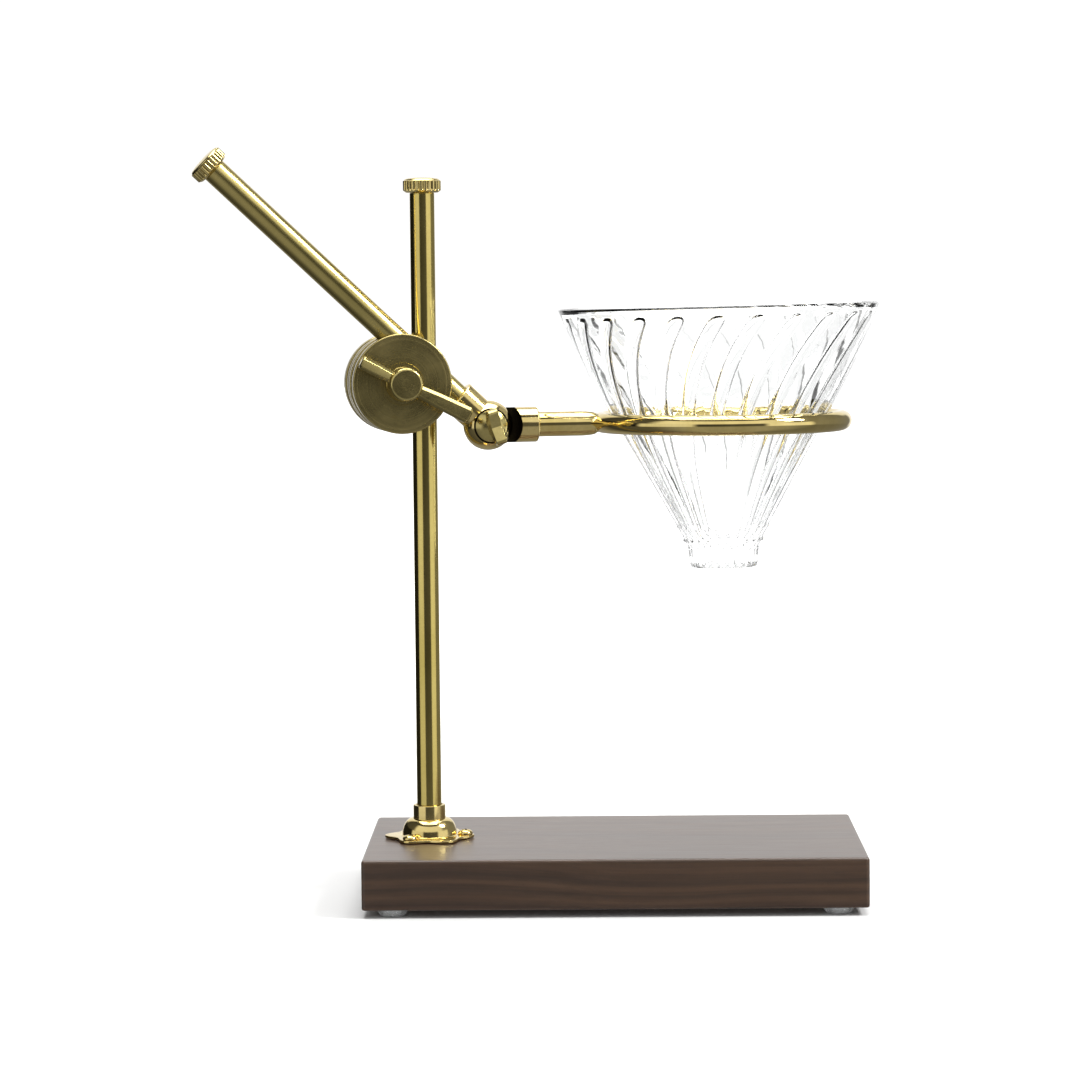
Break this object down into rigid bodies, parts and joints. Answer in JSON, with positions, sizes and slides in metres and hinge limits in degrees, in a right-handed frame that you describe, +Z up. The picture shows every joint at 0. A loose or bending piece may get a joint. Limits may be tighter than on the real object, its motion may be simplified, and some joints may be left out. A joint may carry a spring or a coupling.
{
  "type": "pour over coffee stand",
  "caption": "Brass and walnut pour over stand: a post and a tilting arm held by a wing-lever clamp carry a ring with a ribbed glass dripper over the base.",
  "frame": {"origin": "middle of the whole footprint at rest, on the surface the feet stand on", "axes": "+Z up along the post, +X from the post towards the dripper along the base's length, -Y is the base's front edge"},
  "size_m": [0.2608, 0.1264, 0.2891],
  "materials": {
    "walnut": "oiled satin walnut",
    "drawn_brass": "drawn tube, lightly tarnished",
    "turned_brass": "turned faces with fine rings",
    "polished_brass": "polished",
    "clear_glass": "clear, ribbed inside",
    "clear_rubber": "clear soft bumper"
  },
  "bodies": {
    "stand": {"walnut_base": "walnut", "foot_front_left": "clear_rubber", "foot_front_right": "clear_rubber", "foot_rear_left": "clear_rubber", "foot_rear_right": "clear_rubber", "base_flange": "polished_brass", "flange_screw_1": "polished_brass", "flange_screw_2": "polished_brass", "flange_screw_3": "polished_brass"},
    "post": {"post_tube": "drawn_brass", "post_cap": "polished_brass"},
    "clamp": {"clamp_back_disc": "turned_brass", "clamp_post_disc": "turned_brass", "clamp_bolt": "drawn_brass"},
    "arm_grip": {"clamp_arm_disc": "turned_brass", "clamp_front_disc": "turned_brass"},
    "lever": {"wing_lever": "turned_brass"},
    "arm": {"arm_tube": "drawn_brass", "arm_end_cap": "polished_brass"},
    "knuckle": {"arm_knuckle_half": "polished_brass"},
    "key": {"knuckle_screw": "turned_brass"},
    "holder": {"ring_knuckle_half": "polished_brass", "ring_stem": "polished_brass", "holder_ring": "polished_brass"},
    "dripper": {"glass_dripper": "clear_glass"}
  },
  "joints": [
    {"name": "post_swivel", "type": "hinge", "parent": "stand", "child": "post", "pos_m": [-0.0454, -0.01245, 0.15], "axis": [0, 0, 1], "continuous": true},
    {"name": "clamp_height", "type": "slide", "parent": "post", "child": "clamp", "axis": [0, 0, 1], "range_m": [-0.1, 0.052]},
    {"name": "arm_tilt", "type": "hinge", "parent": "clamp", "child": "arm_grip", "pos_m": [-0.05638, -0.01488, 0.19945], "axis": [-0.2164, 0.9763, 0], "range_deg": [-45, 30]},
    {"name": "arm_reach", "type": "slide", "parent": "arm_grip", "child": "arm", "axis": [0.7105, 0.1575, -0.6858], "range_m": [0, 0.078]},
    {"name": "arm_roll", "type": "hinge", "parent": "arm", "child": "knuckle", "pos_m": [-0.02078, -0.01877, 0.18295], "axis": [0.7105, 0.1575, -0.6858], "range_deg": [-45, 45]},
    {"name": "ring_tilt", "type": "hinge", "parent": "knuckle", "child": "holder", "pos_m": [-0.02078, -0.01877, 0.18295], "axis": [0.2164, -0.9763, 0], "range_deg": [-55, 40]},
    {"name": "lever_turn", "type": "hinge", "parent": "clamp", "child": "lever", "pos_m": [-0.05205, -0.03441, 0.19945], "axis": [0.2164, -0.9763, 0], "continuous": true},
    {"name": "key_turn", "type": "hinge", "parent": "knuckle", "child": "key", "pos_m": [-0.01862, -0.02853, 0.18295], "axis": [0.2164, -0.9763, 0], "continuous": true},
    {"name": "dripper_lift", "type": "slide", "parent": "holder", "child": "dripper", "axis": [-0.0015, 0.0068, 1], "range_m": [0, 0.11]}
  ]
}
